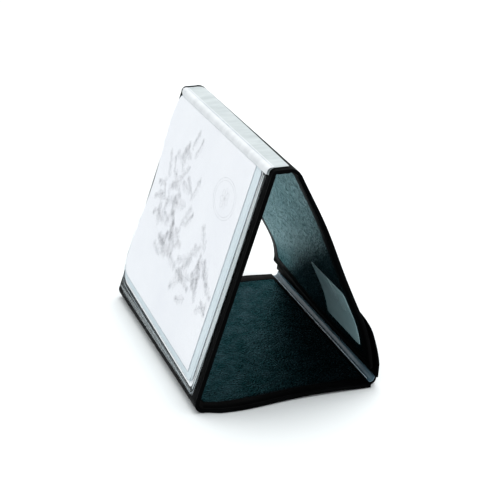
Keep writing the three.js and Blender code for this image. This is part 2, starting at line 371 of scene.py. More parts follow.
rear_first_run = (top_rear.end[1] - BOW_HEIGHT) / math.cos(REAR_LEAN)
bow = (BOW_RADIUS * (REAR_LEAN - TAB_LEAN), REAR_LEAN - TAB_LEAN)
bow_drop = BOW_RADIUS * (math.sin(REAR_LEAN) - math.sin(TAB_LEAN))
REAR_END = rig.box("rear_cover")[0].z + PANEL_DEPTH * math.sin(TAB_LEAN)
rear_last_run = (BOW_HEIGHT - bow_drop - REAR_END) / math.cos(TAB_LEAN)
rear_line = Profile(top_rear.end, REAR_HEADING, (rear_first_run, 0), bow, (rear_last_run, 0))
tab_end_run = (REAR_END - tab_fold.start[1]) / math.cos(TAB_LEAN)
tab_line = Profile(top_rear.end, REAR_HEADING, (rear_first_run, 0), bow, (rear_last_run + tab_end_run, 0))


# -------------------- meshes


def new_object(name, vertices, faces, material, smooth=True):
    """A mesh object with one material, linked to the scene."""
    mesh = bpy.data.meshes.new(name)
    mesh.from_pydata([tuple(v) for v in vertices], [], [tuple(f) for f in faces])
    mesh.validate()
    mesh.polygons.foreach_set("use_smooth", [smooth] * len(mesh.polygons))
    mesh.materials.append(material)
    mesh.update()
    made = bpy.data.objects.new(name, mesh)
    bpy.context.scene.collection.objects.link(made)
    return made


def grading(low, high, step, roundings, marks=()):
    """Places from low to high: close together at both rounded ends and round each mark."""
    arc = [1 - math.cos(QUARTER * i / ROUNDING_STEPS) for i in range(ROUNDING_STEPS + 1)]
    places = {low + roundings[0] * a for a in arc} | {high - roundings[1] * a for a in arc}
    for mark in marks:
        places |= {mark + offset for offset in MARK_OFFSETS}
    count = max(2, round((high - low) / step))
    for place in np.linspace(low, high, count + 1):
        if min(abs(place - p) for p in places) > step * CLOSEST_SHARE:
            places.add(float(place))
    return np.array(sorted({p for p in places if low - TINY <= p <= high + TINY}))


def edge_inset(distance, rounding):
    """How far a rounded edge falls away from the face, at a distance in from the edge."""
    share = np.clip(distance / max(rounding, TINY), 0, 1)
    return rounding * (1 - np.sqrt(np.clip(1 - (1 - share) ** 2, 0, 1)))


def round_corners(s, y, s_span, y_span, radii):
    """Pull a grid's corners in to arcs. radii are the first edge's near and far ones, then the last's."""
    late = s > sum(s_span) / 2
    far = y > sum(y_span) / 2
    radius = np.where(late, np.where(far, radii[3], radii[2]), np.where(far, radii[1], radii[0]))
    radius = np.maximum(radius, TINY)
    a = np.clip(1 - np.minimum(s - s_span[0], s_span[1] - s) / radius, 0, 1)
    b = np.clip(1 - np.minimum(y - y_span[0], y_span[1] - y) / radius, 0, 1)
    pull = np.where((a > 0) & (b > 0), np.maximum(a, b) / np.maximum(np.hypot(a, b), TINY) - 1, 0)
    return s + np.where(late, 1, -1) * radius * a * pull, y + np.where(far, 1, -1) * radius * b * pull


def nothing(s, y):
    """No relief at all, for a face that needs none."""
    return np.zeros_like(s)


def slab(name, line, s_span, y_span, depths, material, rounding=None, corner=0.0, step=5 * MM, y_step=None,
         s_marks=(), y_marks=(), outer=nothing, inner=nothing, warp=nothing, slide=nothing, spread=nothing,
         square=(False, False)):
    """A sheet with rounded edges. outer and inner add relief to its faces, and warp moves both faces.

    Each takes arrays of s and y and returns metres, positive inwards. slide moves s and spread y instead,
    corner is one radius or four, and square says which of the first and last edges is cut square.
    """
    thickness = depths[1] - depths[0]
    rounding = min(rounding if rounding is not None else thickness / 2, thickness / 2)
    s_places = grading(*s_span, step, [0 if cut else rounding for cut in square], s_marks)
    y_places = grading(*y_span, y_step or step, (rounding, rounding), y_marks)
    s, y = np.meshgrid(s_places, y_places, indexing="ij")
    inside = [y - y_span[0], y_span[1] - y]
    inside += [edge for edge, cut in zip((s - s_span[0], s_span[1] - s), square) if not cut]
    distance = np.minimum.reduce(inside)
    inset = edge_inset(distance, rounding)
    radii = corner if isinstance(corner, tuple) else (corner,) * 4
    s, y = round_corners(s, y, s_span, y_span, radii)
    shift = warp(s, y)
    fade = rise(distance, RELIEF_FADE)
    top = depths[0] + inset + shift + fade * outer(s, y)
    bottom = depths[1] - inset + shift + inner(s, y) * fade
    s, y = s + slide(s, y), y + spread(s, y)
    rows, columns = s.shape
    vertices = np.vstack([line.place(s, y, top), line.place(s, y, bottom)])
    count = rows * columns
    index = np.arange(count).reshape(rows, columns)
    corners = [index[:-1, :-1], index[1:, :-1], index[1:, 1:], index[:-1, 1:]]
    outer_faces = np.stack(corners, -1).reshape(-1, 4)
    inner_faces = outer_faces[:, ::-1] + count
    rim = np.concatenate([index[0, :], index[1:, -1], index[-1, -2::-1], index[-2:0:-1, 0]])
    following = np.roll(rim, -1)
    rim_faces = np.stack([rim, following, following + count, rim + count], -1)
    made = new_object(name, vertices, np.vstack([outer_faces, inner_faces, rim_faces]), material)
    clean(made)
    return made


def clean(made):
    """Join vertices that coincide, turn the faces outwards and keep square edges sharp."""
    work = bmesh.new()
    work.from_mesh(made.data)
    bmesh.ops.remove_doubles(work, verts=work.verts, dist=MERGE_DISTANCE)
    bmesh.ops.recalc_face_normals(work, faces=work.faces)
    work.to_mesh(made.data)
    work.free()
    made.data.set_sharp_from_angle(angle=SHARP_ANGLE)


def ribbons(name, line, paths, width, depths, material, closed=False, warp=nothing):
    """Thin flat strokes along paths of (s, y) points, as one mesh. Open strokes taper at both ends."""
    vertices, faces = [], []
    for path in paths:
        path = np.array(path, float)
        count = len(path)
        if closed:
            along = np.roll(path, -1, 0) - np.roll(path, 1, 0)
            half = np.full(count, width / 2)
        else:
            along = np.gradient(path, axis=0)
            half = width / 2 * (STROKE_END + (1 - STROKE_END) * np.sin(np.linspace(0, math.pi, count)))
        along = along / np.linalg.norm(along, axis=1)[:, None]
        across = np.column_stack([-along[:, 1], along[:, 0]]) * half[:, None]
        first = len(vertices)
        for side, depth in ((1, 0), (-1, 0), (-1, 1), (1, 1)):
            s, y = (path + side * across).T
            vertices += list(line.place(s, y, depths[depth] + warp(s, y)))
        for i in range(count if closed else count - 1):
            j = (i + 1) % count
            for k in range(4):
                a, b = first + k * count, first + (k + 1) % 4 * count
                faces.append((a + i, a + j, b + j, b + i))
        if not closed:
            faces.append([first + k * count for k in range(4)])
            faces.append([first + k * count + count - 1 for k in (3, 2, 1, 0)])
    made = new_object(name, vertices, faces, material, False)
    clean(made)
    return made


# -------------------- materials


class Nodes:
    """A material's node tree, with short calls for the nodes used here."""

    def __init__(self, name):
        self.material = bpy.data.materials.new(name)
        self.material.use_nodes = True
        self.tree = self.material.node_tree
        self.shader = self.tree.nodes["Principled BSDF"]
        self.place = self.tree.nodes.new("ShaderNodeTexCoord").outputs["Object"]

    def link(self, source, target):
        self.tree.links.new(source, target)

    def set(self, **values):
        for name, value in values.items():
            self.shader.inputs[name.replace("_", " ")].default_value = value

    def noise(self, scale, detail, roughness=0.55, stretch=None):
        """Soft noise, from 0 to 1. A stretch scales it along each axis."""
        node = self.tree.nodes.new("ShaderNodeTexNoise")
        node.inputs["Scale"].default_value = scale
        node.inputs["Detail"].default_value = detail
        node.inputs["Roughness"].default_value = roughness
        self.link(self.stretched(stretch), node.inputs["Vector"])
        return node.outputs["Fac"]

    def cells(self, scale):
        """Round cells: the distance to the nearest centre."""
        node = self.tree.nodes.new("ShaderNodeTexVoronoi")
        node.inputs["Scale"].default_value = scale
        self.link(self.place, node.inputs["Vector"])
        return node.outputs["Distance"]

    def stretched(self, stretch):
        """The place on the object, scaled along each axis if a stretch is given."""
        if stretch is None:
            return self.place
        node = self.tree.nodes.new("ShaderNodeMapping")
        node.inputs["Scale"].default_value = stretch
        self.link(self.place, node.inputs["Vector"])
        return node.outputs["Vector"]

    def ramp(self, source, *stops):
        """A blend between two colours, whose stops are a position and a colour each."""
        node = self.tree.nodes.new("ShaderNodeValToRGB")
        for element, (position, colour) in zip(node.color_ramp.elements, stops):
            element.position = position
            element.color = (*colour, 1)
        self.link(source, node.inputs["Fac"])
        return node.outputs["Color"]

    def total(self, first, second, operation="ADD"):
        """Two values added, or multiplied."""
        node = self.tree.nodes.new("ShaderNodeMath")
        node.operation = operation
        self.link(first, node.inputs[0])
        self.link(second, node.inputs[1])
        return node.outputs[0]

    def bump(self, height, distance, strength):
        """Relief in the surface, as deep as the distance where the height goes from 0 to 1."""
        node = self.tree.nodes.new("ShaderNodeBump")
        node.inputs["Distance"].default_value = distance
        node.inputs["Strength"].default_value = strength
        self.link(height, node.inputs["Height"])
        self.link(node.outputs["Normal"], self.shader.inputs["Normal"])

    def colour(self, source):
        self.link(source, self.shader.inputs["Base Color"])

    def roughness(self, source, low, high, at_low=0.3, at_high=0.7):
        """Roughness from low to high, as the source goes from at_low to at_high."""
        node = self.tree.nodes.new("ShaderNodeMapRange")
        for name, value in (("From Min", at_low), ("From Max", at_high), ("To Min", low), ("To Max", high)):
            node.inputs[name].default_value = value
        self.link(source, node.inputs["Value"])
        self.link(node.outputs["Result"], self.shader.inputs["Roughness"])


def cover_vinyl():
    """Black vinyl with a fine leather grain, a little dustier in places."""
    n = Nodes("cover_vinyl")
    dust = n.noise(scale=35, detail=5)
    n.colour(n.ramp(dust, (0.35, (0.0012, 0.0014, 0.0016)), (0.75, (0.003, 0.0035, 0.004))))
    n.roughness(n.noise(scale=60, detail=4), low=0.42, high=0.55)
    grain = n.total(n.cells(scale=900), n.noise(scale=1500, detail=2), "MULTIPLY")
    n.bump(grain, distance=0.12 * MM, strength=0.35)
    n.set(Specular_IOR_Level=0.03)
    return n.material


def hinge_vinyl():
    """The glossy vinyl of a hinge's inner face, with fine creases along the fold; its pale blue grey is a painted
    reflection on black vinyl.
    """
    n = Nodes("hinge_vinyl")
    # Painted reflection: pale blue greys stand for the bright line that the black vinyl shows at the crease.
    n.colour(n.ramp(n.noise(scale=40, detail=4), (0.3, (0.09, 0.17, 0.22)), (0.8, (0.18, 0.28, 0.34))))
    n.roughness(n.noise(scale=90, detail=3), low=0.1, high=0.22)
    creases = n.noise(scale=60, detail=3, roughness=0.5, stretch=(18, 0.6, 18))
    n.bump(creases, distance=0.2 * MM, strength=0.4)
    n.set(Specular_IOR_Level=0.5)
    return n.material


def lining_vinyl():
    """Dark lining with a raised pebble grain, whose sheen is a soft blue green."""
    n = Nodes("lining_vinyl")
    mottle = n.total(n.noise(scale=420, detail=3, roughness=0.7), n.noise(scale=70, detail=2), "MULTIPLY")
    n.colour(n.ramp(mottle, (0.14, (0.001, 0.003, 0.004)), (0.42, (0.056, 0.068, 0.08))))
    n.roughness(n.noise(scale=330, detail=3, roughness=0.7), low=0.12, high=0.38, at_low=0.38, at_high=0.62)
    grain = n.total(n.cells(scale=560), n.noise(scale=800, detail=3), "ADD")
    n.bump(grain, distance=0.6 * MM, strength=0.6)
    n.set(Metallic=1.0, Specular_Tint=(0.5, 0.72, 0.75, 1))
    return n.material


def pocket_vinyl():
    """Smooth smoke grey film, slightly rippled; its colour is lightened to a pale teal as a painted reflection of the
    lit base.
    """
    n = Nodes("pocket_vinyl")
    # Painted reflection: the grey is raised to the brightness of the lit base that the film mirrors.
    n.colour(n.ramp(n.noise(scale=22, detail=3), (0.3, (0.34, 0.5, 0.53)), (0.7, (0.45, 0.62, 0.65))))
    n.roughness(n.noise(scale=30, detail=2), low=0.2, high=0.3)
    n.bump(n.noise(scale=28, detail=2), distance=1.2 * MM, strength=0.25)
    return n.material


def grey_board():
    """Binder's board: pressed grey fibre."""
    n = Nodes("board")
    fibre = n.noise(scale=300, detail=6, roughness=0.7)
    n.colour(n.ramp(fibre, (0.3, (0.2, 0.19, 0.165)), (0.7, (0.34, 0.32, 0.28))))
    n.roughness(n.noise(scale=200, detail=3), low=0.85, high=0.95)
    n.bump(n.noise(scale=500, detail=4), distance=0.2 * MM, strength=0.5)
    return n.material


def white_paper(name, light, dark):
    """White paper with faint clouding and a fibre texture."""
    n = Nodes(name)
    n.colour(n.ramp(n.noise(scale=9, detail=4, roughness=0.6), (0.3, dark), (0.7, light)))
    n.roughness(n.noise(scale=500, detail=4), low=0.62, high=0.75)
    n.bump(n.noise(scale=900, detail=5), distance=0.05 * MM, strength=0.3)
    return n.material


def clear_film(name, dark, light, alpha):
    """Clear film with a faint haze and soft ripples."""
    n = Nodes(name)
    n.colour(n.ramp(n.noise(scale=15, detail=2), (0.3, dark), (0.7, light)))
    n.roughness(n.noise(scale=25, detail=2), low=0.12, high=0.22)
    n.bump(n.noise(scale=14, detail=2, roughness=0.4, stretch=(1, 0.35, 1)), distance=2.0 * MM, strength=0.12)
    n.set(Alpha=alpha)
    return n.material


def frosted_film(name, dark, light):
    """The milky film that binds the pages, streaked across its width."""
    n = Nodes(name)
    streaks = n.noise(scale=60, detail=4, roughness=0.6, stretch=(0.5, 1.6, 0.5))
    n.colour(n.ramp(streaks, (0.35, dark), (0.65, light)))
    n.roughness(n.noise(scale=60, detail=3), low=0.3, high=0.45)
    n.bump(streaks, distance=0.5 * MM, strength=0.3)
    return n.material


def hook_and_loop():
    """Black hook and loop tape: a dull felt of tiny loops."""
    n = Nodes("hook_and_loop")
    n.colour(n.ramp(n.cells(scale=1400), (0.1, (0.003, 0.003, 0.004)), (0.8, (0.02, 0.02, 0.022))))
    n.roughness(n.noise(scale=300, detail=2), low=0.85, high=0.95)
    n.bump(n.total(n.cells(scale=1400), n.noise(scale=2500, detail=3)), distance=0.5 * MM, strength=0.8)
    return n.material


def drawn_line(name, dark, light):
    """A soft grey stroke that comes and goes."""
    n = Nodes(name)
    n.colour(n.ramp(n.noise(scale=120, detail=3), (0.35, dark), (0.65, light)))
    n.roughness(n.noise(scale=400, detail=2), low=0.7, high=0.85)
    return n.material


VINYL = cover_vinyl()
HINGE_PAINTED_REFLECTION = hinge_vinyl()
LINING = lining_vinyl()
POCKET_PAINTED_REFLECTION = pocket_vinyl()
BOARD = grey_board()
PAPER = white_paper("print_paper", (0.82, 0.84, 0.87), (0.77, 0.79, 0.83))
BACKING = white_paper("backing_paper", (0.93, 0.95, 0.97), (0.9, 0.93, 0.95))
SLEEVE = clear_film("sleeve_film", (0.85, 0.89, 0.92), (0.92, 0.95, 0.97), 0.02)
MILKY = white_paper("milky_film", (0.64, 0.72, 0.76), (0.58, 0.67, 0.71))
POCKET_FILM = clear_film("pocket_film", (0.7, 0.78, 0.8), (0.8, 0.87, 0.9), 0.05)
FROSTED = frosted_film("frosted_film", (0.4, 0.45, 0.46), (0.5, 0.55, 0.56))
PAGE_BINDING = frosted_film("page_binding", (0.6, 0.63, 0.65), (0.68, 0.71, 0.73))
TAPE = hook_and_loop()
PENCIL = drawn_line("pencil", (0.56, 0.58, 0.61), (0.72, 0.73, 0.76))
# Painted highlight: the bead's near white stands for the bright line on the black crease.
PAINTED_HIGHLIGHT_BEAD = drawn_line("bead", (0.7, 0.82, 0.9), (0.85, 0.93, 0.98))
WELD_BAND = clear_film("weld_band", (0.6, 0.68, 0.7), (0.72, 0.79, 0.82), 0.6)
LOWER_BAND = clear_film("lower_band", (0.55, 0.62, 0.64), (0.66, 0.72, 0.74), 0.15)
WELD = drawn_line("weld", (0.3, 0.36, 0.4), (0.5, 0.55, 0.58))


# -------------------- panels


def place_piece(made, body, slot, *nodes):
    """Make a piece ride on a body, take a slot's finish and stand for its CAD nodes."""
    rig.ride(made, body)
    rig.slot(made, slot)
    if nodes:
        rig.replaces(made, *nodes)
    return made


def bell(value, centre, width):
    """1 at the centre, falling smoothly to almost 0 at twice the width away."""
    return np.exp(-(((value - centre) / width) ** 2))


def rise(distance, reach):
    """From 0 at an edge to 1 at a distance in from it."""
    return np.clip(distance / reach, 0, 1)


def taper(distance, reach):
    """From 1 at an edge to 0 at a distance in from it."""
    return np.clip(1 - distance / reach, 0, 1)


def end_share(y, side):
    """From 0 at the middle of the stand to 1 at its near (-1) or far (1) end."""
    return rise(side * y, HALF)


def wave(s, y, seed, size, height):
    """A smooth random ripple, as a sum of a few sines."""
    local = np.random.default_rng(seed)
    total = np.zeros_like(s)
    for _ in range(WAVES):
        angle, phase = local.uniform(0, math.pi), local.uniform(0, FULL_TURN)
        stretch = local.uniform(0.6, 1.7)
        total += np.sin((s * math.cos(angle) + y * math.sin(angle)) * FULL_TURN * stretch / size + phase)
    return total * height / 3


def covered_board(name, line, borders, free_edge=False, seed=1, warp=nothing, spread=nothing):
    """A board wrapped in vinyl: a welded line just inside its edges, and a lining set into its inner face.

    borders are the smooth strips at the panel's first and last edge. A free last edge has no fold and
    thins to a hem.
    """
    s_span = (GAP, line.length - GAP)
    window_s = (borders[0], line.length - borders[1])
    window_y = (-HALF + END_BORDER, HALF - END_BORDER)
    core_end = max(BOARD_INSET, borders[1] * free_edge)

    def weld(s, y):
        distance = HALF - np.abs(y)
        if free_edge:
            distance = np.minimum(distance, s_span[1] - s)
        return WELD_DEPTH * bell(distance, WELD_INSET, WELD_WIDTH)

    def inner(s, y):
        inside = np.minimum(
            np.minimum(s - window_s[0], window_s[1] - s),
            np.minimum(y - window_y[0], window_y[1] - y),
        )
        recess = (PANEL_DEPTH - LINING_FACE + RECESS_EXTRA) * np.clip(inside / RECESS_SLOPE + 1, 0, 1)
        hem = HEM_TAPER * taper(s_span[1] - s, borders[1]) if free_edge else 0
        return -recess - hem - weld(s, y)

    cover = slab(
        name + "_panel", line, s_span, (-HALF, HALF), (0, PANEL_DEPTH), VINYL,
        rounding=PANEL_ROUNDING, corner=(0, 0, FREE_CORNER, FREE_CORNER) if free_edge else 0,
        s_marks=(*window_s, *([s_span[1] - WELD_INSET] if free_edge else [])),
        y_marks=(*window_y, -HALF + WELD_INSET, HALF - WELD_INSET),
        outer=weld, inner=inner, square=(True, not free_edge), warp=warp, spread=spread,
    )
    place_piece(cover, name, "cover_vinyl", name + "_cover")
    grain = slab(
        name + "_grain", line,
        (window_s[0] + LINING_SLACK, window_s[1] - LINING_SLACK),
        (window_y[0] + LINING_SLACK, window_y[1] - LINING_SLACK),
        LINING_DEPTHS, LINING, rounding=0.35 * MM, corner=1.5 * MM,
        inner=lambda s, y: wave(s, y, seed, size=60 * MM, height=0.1 * MM), warp=warp, spread=spread,
    )
    place_piece(grain, name, "lining_vinyl", name + "_lining")
    core = slab(
        name + "_core", line, (BOARD_INSET, line.length - core_end),
        (-HALF + BOARD_INSET, HALF - BOARD_INSET), BOARD_DEPTHS, BOARD, rounding=0.3 * MM, step=10 * MM,
        warp=warp, spread=spread,
    )
    place_piece(core, name, "board", name + "_board")


def base_lift(s, y):
    """The base is not quite flat: its near end arches by the rear and its far end curls up a little."""
    across = rise(np.minimum(s, base_line.length - s), reach=30 * MM)
    near = BASE_ARCH * end_share(y, -1) ** 3 * bell(s, centre=50 * MM, width=40 * MM)
    far = BASE_CURL * end_share(y, 1) ** 4 * bell(s, centre=30 * MM, width=60 * MM)
    return across * (near + far)


def base_spread(s, y):
    """The near edge of the base swells out beside the foot."""
    fold_share = rise(base_line.length - s, reach=14 * MM)
    return -BASE_SWELL * fold_share * end_share(y, -1) ** 2 * bell(s, centre=140 * MM, width=42 * MM)


def far_straighten(s, y):
    """At the far end the rear panel and its tab hardly bow."""
    above_fold = rise(tab_line.length - s, reach=18 * MM)
    return -FAR_STRAIGHTENING * above_fold * end_share(y, 1) * bell(s, centre=210 * MM, width=30 * MM)


def rear_bulge(s, y):
    """The rear panel bows outwards, high up at the near end and lower down at the far end."""
    near = REAR_BULGE * end_share(y, -1) * bell(s, centre=60 * MM, width=46 * MM)
    return far_straighten(s, y) - near


def build_panels():
    """The four covered boards. The base and the rear panel have warped a little."""
    folded = (FOLD_BORDER, FOLD_BORDER)
    covered_board("base", base_line, folded, seed=21, warp=base_lift, spread=base_spread)
    covered_board("front", front_line, folded, seed=22)
    covered_board("spine", spine_line, (SPINE_BORDER, SPINE_BORDER), seed=23)
    covered_board("rear", rear_line, (FOLD_BORDER, FREE_BORDER), free_edge=True, seed=24, warp=rear_bulge)


# -------------------- folds


def blend_line(fold, depths):
    """The points between which a web turns: both of its end sections lie wholly outside them."""
    ends = [fold.profile.place(s, 0, d)[0] for s in (0, fold.profile.length) for d in depths]
    chord = ends[2] - ends[0]
    chord = chord / np.linalg.norm(chord)
    along = [float((point - ends[0]) @ chord) for point in ends]
    first, last = max(along[:2]), min(along[2:])
    return {"start": tuple(ends[0] + chord * first), "end": tuple(ends[0] + chord * last)}


def web(name, fold, bodies, depths, material, slot, end_inset, nodes=(), warp=nothing):
    """One layer of a fold, bending between its two panels."""
    length = fold.profile.length
    made = slab(
        name, fold.profile, (-GAP, length + GAP), (-HALF + end_inset, HALF - end_inset), depths, material,
        rounding=WEB_ROUNDING, step=length / WEB_STEPS, y_step=6 * MM, square=(True, True), warp=warp,
    )
    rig.slot(made, slot)
    if nodes:
        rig.replaces(made, *nodes)
    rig.blend(made, *bodies, **blend_line(fold, depths))


def lined_fold(name, fold, bodies):
    """A fold at the top: a vinyl web with the lining's web inside it."""
    web(name + "_web", fold, bodies, (0, LINED_WEB_DEPTH), VINYL, "cover_vinyl", WEB_INSET, [name + "_hinge"])
    lining_depths = (LINED_WEB_DEPTH, WEB_LINING_DEPTH)
    web(name + "_lining", fold, bodies, lining_depths, LINING, "lining_vinyl", END_BORDER)


def foot_fold():
    """The fold at the foot, whose two layers are both plain vinyl."""
    bodies = ("base", "front")
    web("foot_web", foot, bodies, (0, FOOT_WEB_DEPTH), VINYL, "cover_vinyl", WEB_INSET, ["foot_hinge"])
    web("foot_inside", foot, bodies, (FOOT_WEB_DEPTH, PANEL_DEPTH), VINYL, "cover_vinyl", WEB_INSET)


def tab_fillet(s, y):
    """The tab fold's inner vinyl hollows towards the tab."""
    return -TAB_FILLET * taper(s, tab_fold.profile.length)


def tab_fold_layers():
    """The fold between tab and base: a cover web, a near white bead on the crease that is a painted highlight, and a
    glossy inner web in painted reflection.
    """
    bodies, fold_end = ("tab", "base"), tab_fold.profile.length
    web("tab_web", tab_fold, bodies, (0, TAB_WEB_DEPTH), VINYL, "cover_vinyl", TAB_WEB_INSET, ["tab_hinge"])
    crease = [(fold_end - BEAD_INSET, y) for y in np.linspace(*BEAD_Y, 60)]
    bead = ribbons("tab_fold_bead", tab_fold.profile, [crease], BEAD_WIDTH, BEAD_DEPTHS, PAINTED_HIGHLIGHT_BEAD)
    place_piece(bead, "base", "hinge_vinyl")
    inside_depths = (TAB_INSIDE_DEPTH, PANEL_DEPTH)
    # The inner web's pale blue grey is painted reflection.
    web("tab_inside", tab_fold, bodies, inside_depths, HINGE_PAINTED_REFLECTION, "hinge_vinyl", TAB_WEB_INSET, warp=tab_fillet)


def build_folds():
    """The webs of all four folds."""
    lined_fold("top_front", top_front, ("front", "spine"))
    lined_fold("top_rear", top_rear, ("spine", "rear"))
    foot_fold()
    tab_fold_layers()


# -------------------- tab and tapes

tab_top = (top_rear.end[1] - TAB_TOP_HEIGHT) / math.cos(REAR_LEAN)
TAPE_SPAN = {
    "s_span": (rear_line.length - 40 * MM, rear_line.length - 6 * MM),
    "y_span": (-HALF + TAPE_END_INSET, HALF - TAPE_END_INSET),
    "corner": 2 * MM,
    "step": 1.5 * MM,
}


def tab_weld(s, y):
    """A welded line inside the tab's ends and its top edge."""
    distance = np.minimum(HALF - MM - np.abs(y), s - tab_top)
    return WELD_DEPTH * bell(distance, WELD_INSET, WELD_WIDTH)


def tab_outer(s, y):
    """The tab thins towards its free top edge."""
    return TAB_THINNING * taper(s - tab_top, TAB_HEM) + tab_weld(s, y)


def tab_warp(s, y):
    """The tab's top edge leans on the rear panel, and its lower near end stands off a little."""
    above_fold = rise(tab_line.length - s, reach=14 * MM)
    near_bulge = TAB_BULGE * above_fold * end_share(y, -1) ** 2 * bell(s, centre=222 * MM, width=24 * MM)
    return TAB_LEAN_IN * taper(s - tab_top, reach=17 * MM) + far_straighten(s, y) - near_bulge


def closure_tab():
    """The vinyl tab outside the rear panel, with a welded edge."""
    tab = slab(
        "closure_tab", tab_line, material=VINYL,
        s_span=(tab_top, tab_line.length - GAP), y_span=(-HALF + MM, HALF - MM),
        depths=(-TAPE_DEPTH - TAB_THICKNESS, -TAPE_DEPTH), rounding=1.1 * MM, corner=TAB_CORNERS,
        s_marks=(tab_top + WELD_INSET,), y_marks=(-HALF + MM + WELD_INSET, HALF - MM - WELD_INSET),
        outer=tab_outer, inner=lambda s, y: -tab_weld(s, y), warp=tab_warp,
    )
    place_piece(tab, "tab", "cover_vinyl", "tab_cover")


def tab_core():
    """The stiffener inside the tab."""
    core = slab(
        "tab_core", tab_line, material=BOARD,
        s_span=(tab_top + TAB_CORE_START, tab_line.length - MM),
        y_span=(-HALF + TAB_CORE_INSET, HALF - TAB_CORE_INSET),
        depths=TAB_CORE_DEPTHS, corner=2 * MM, step=8 * MM, warp=tab_warp,
    )
    place_piece(core, "tab", "board", "tab_stiffener")


def fuzz(s, y):
    """The tiny bumps of hook and loop tape."""
    return FUZZ_HEIGHT * np.sin(s * FUZZ_FREQUENCY) * np.sin(y * FUZZ_FREQUENCY)


def tapes():
    """The hook strip on the tab and the loop strip on the rear panel, face to face."""
    hook_depths = (-2 * GAP - 2 * TAPE_THICKNESS, -2 * GAP - TAPE_THICKNESS)
    hooks = slab(
        "hook_strip", tab_line, depths=hook_depths, material=TAPE,
        inner=fuzz, warp=far_straighten, **TAPE_SPAN)
    place_piece(hooks, "tab", "hook_and_loop", "hook_tape")
    loop_depths = (-GAP - TAPE_THICKNESS, -GAP)
    loops = slab(
        "loop_strip", rear_line, depths=loop_depths, material=TAPE,
        outer=fuzz, warp=far_straighten, **TAPE_SPAN)
    place_piece(loops, "rear", "hook_and_loop", "loop_tape")


def build_tab():
    """The closure tab, its stiffener, and the tapes that hold it to the rear panel."""
    closure_tab()
    tab_core()
    tapes()


# -------------------- sheets on the front


def node_span(node, line):
    """The s, y and depth ranges of a CAD node on a straight panel, measured in the panel's frame."""
    points = np.array([v.co for v in frame["nodes"][node].data.vertices], float)
    start, heading = line.nodes[0][1], line.nodes[0][2]
    along = heading_step(heading)
    inward = np.array([math.cos(heading), -math.sin(heading)])
    flat = points[:, [0, 2]] - start
    ranges = [flat @ along, points[:, 1], flat @ inward]
    return {
        name: (float(values.min()), float(values.max()))
        for name, values in zip(("s_span", "y_span", "depths"), ranges)
    }


def lower_edge(s, y):
    """The sheets hang a little askew: their lower edge stands further from the foot at the far end."""
    return LOWER_EDGE_RISE * taper(s, reach=90 * MM) * (y + HALF) / (2 * HALF)


def far_edge(share):
    """The sheets' far edge draws in from the board's along its lower half and again at the top."""
    def spread(s, y):
        lower = LOWER_DRAW_IN * bell(s, centre=130 * MM, width=50 * MM)
        upper = UPPER_DRAW_IN * bell(s, centre=front_line.length, width=20 * MM)
        return -share * (lower + upper) * end_share(y, 1) ** 8

    return spread


def page_ripple(s, y):
    """Soft ripples in the page, as a hanging sheet has."""
    return wave(s, y, seed=4, size=RIPPLE_SIZE, height=0.08 * MM)


def backing_ripple(s, y):
    """Softer ripples in the sheets behind the page."""
    return wave(s, y, seed=3, size=RIPPLE_SIZE, height=0.05 * MM)


def front_sheet(name, node, body, material, slot, longer=0.0, **more):
    """A sheet as large as its CAD node, or a little longer at the top."""
    span = node_span(node, front_line)
    span["s_span"] = (span["s_span"][0], span["s_span"][1] + longer)
    place_piece(slab(name, front_line, material=material, **span, **more), body, slot, node)


def build_sheets():
    """The sheets on the front, from the board outwards."""
    front_sheet(
        "backing_paper", "backing_sheet", "front", BACKING, "paper",
        corner=SHEET_CORNERS, warp=backing_ripple, spread=far_edge(share=0.6), slide=lower_edge)
    front_sheet(
        "pocket_film", "clear_pocket", "front", POCKET_FILM, "clear_film",
        corner=FILM_CORNERS, warp=backing_ripple, spread=far_edge(share=0.5))
    front_sheet(
        "sleeve_film_back", "sleeve_back", "page", MILKY, "clear_film",
        corner=FILM_CORNERS, warp=page_ripple, spread=far_edge(share=0.9), slide=lower_edge)
    front_sheet(
        "print_page", "print", "page", PAPER, "paper", longer=1.2 * MM,
        corner=PRINT_CORNERS, warp=page_ripple, spread=far_edge(share=1), slide=lower_edge)
    front_sheet(
        "sleeve_film_front", "sleeve_front", "page", SLEEVE, "clear_film",
        corner=FILM_CORNERS, warp=page_ripple, spread=far_edge(share=0.9), slide=lower_edge)


# -------------------- welds of the films


def seam_path(span, inset, radii):
    """The line a little inside a sheet: down its near end, along its lower edge and up its far end."""
    (s_low, s_high), (y_low, y_high) = span["s_span"], span["y_span"]
    near_radius, far_radius, *rest = [max(radius - inset, 0.3 * MM) for radius in radii]
    clear_top = max(near_radius, far_radius, *rest) + 2 * MM
    s_first, y_near, y_far = s_low + inset, y_low + inset, y_high - inset
    sides = np.linspace(0, s_high - s_first - clear_top, 40)
    turn = np.linspace(0, QUARTER, 8)
    near = [(s_high - clear_top - s, y_near) for s in sides if s_high - s > s_first + near_radius]
    near_arc = [
        (s_first + near_radius * (1 - math.sin(a)), y_near + near_radius * (1 - math.cos(a))) for a in turn
    ]
    bottom = [(s_first, y) for y in np.linspace(y_near + near_radius, y_far - far_radius, 30)]
    far_arc = [
        (s_first + far_radius * (1 - math.cos(a)), y_far - far_radius * (1 - math.sin(a))) for a in turn
    ]
    far = [(s_first + s, y_far) for s in sides if s > far_radius]
    return [(s + lower_edge(s, y), y) for s, y in near + near_arc + bottom[1:-1] + far_arc + far]


def seam(name, node, body, radii, warp, inset, width):
    """A thin weld round a sheet's two ends and its lower edge, lying on the sheet's outer face."""
    span = node_span(node, front_line)
    face = span["depths"][0]
    depths = (face - 0.1 * MM, face - 0.02 * MM)
    made = ribbons(name, front_line, [seam_path(span, inset, radii)], width, depths, WELD, warp=warp)
    place_piece(made, body, "clear_film")


